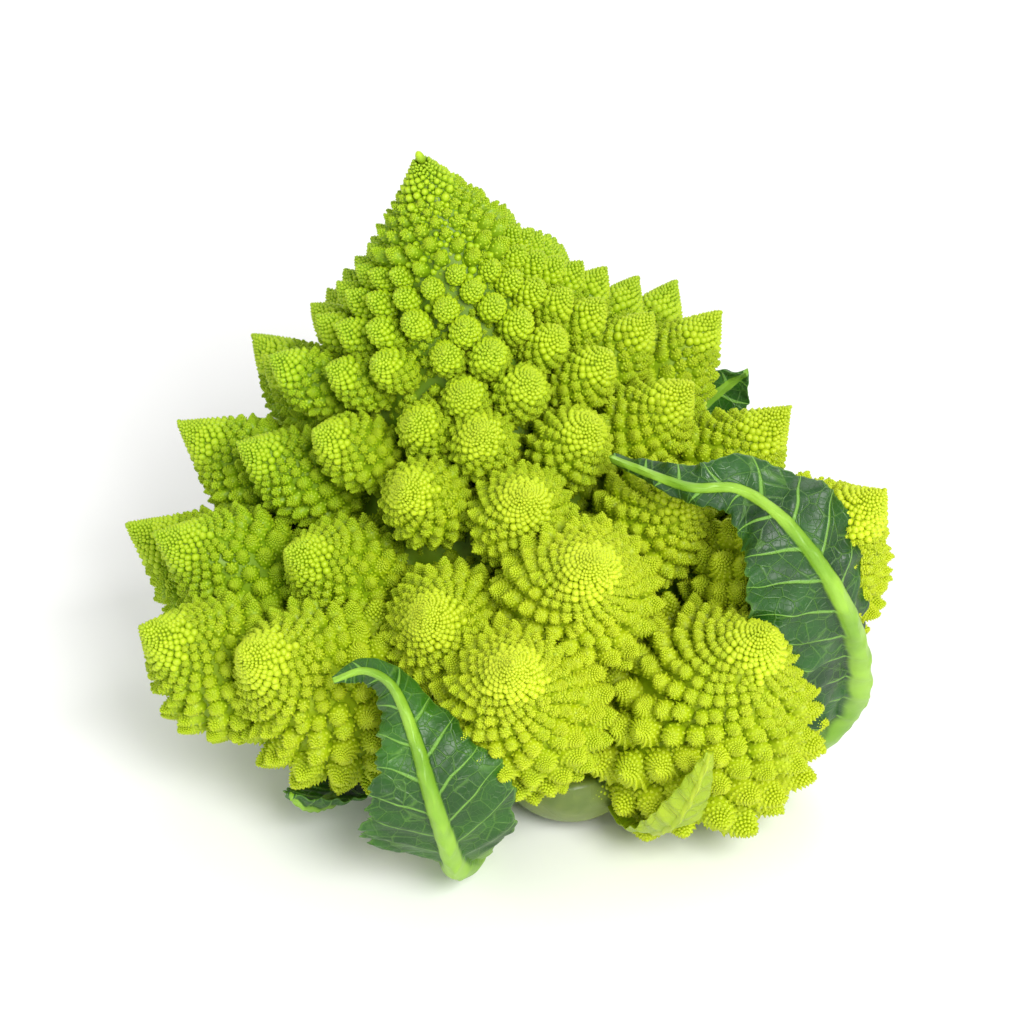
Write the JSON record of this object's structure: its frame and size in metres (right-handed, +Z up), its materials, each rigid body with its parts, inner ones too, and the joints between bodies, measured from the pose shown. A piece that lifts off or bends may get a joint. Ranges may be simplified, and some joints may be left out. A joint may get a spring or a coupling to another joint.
{
  "type": "romanesco head",
  "caption": "Leaning conical romanesco head with spiralling pointed florets, a flat-cut stalk to stand on and a few curling leaves left round its base.",
  "frame": {"origin": "centre of the flat cut under the stalk, where the head stands", "axes": "+Z up from the cut face, -Y towards the side where the leaves curl up in front, +X to that side's right"},
  "size_m": [0.1786, 0.1708, 0.1467],
  "materials": {
    "curd": "waxy yellow-green buds, paler at the tips",
    "stalk": "smooth pale olive stem with a moist pale cut",
    "leaf": "dark green waxy blade with pale veins and a bright smooth midrib",
    "pale_leaf": "thin pale green young leaf"
  },
  "bodies": {
    "root": {"curd": "curd", "stalk": "stalk", "front_leaf": "leaf", "side_leaf": "leaf", "back_leaf": "leaf", "under_leaf": "leaf", "leaf_stub": "pale_leaf", "bract": "pale_leaf"}
  },
  "joints": []
}
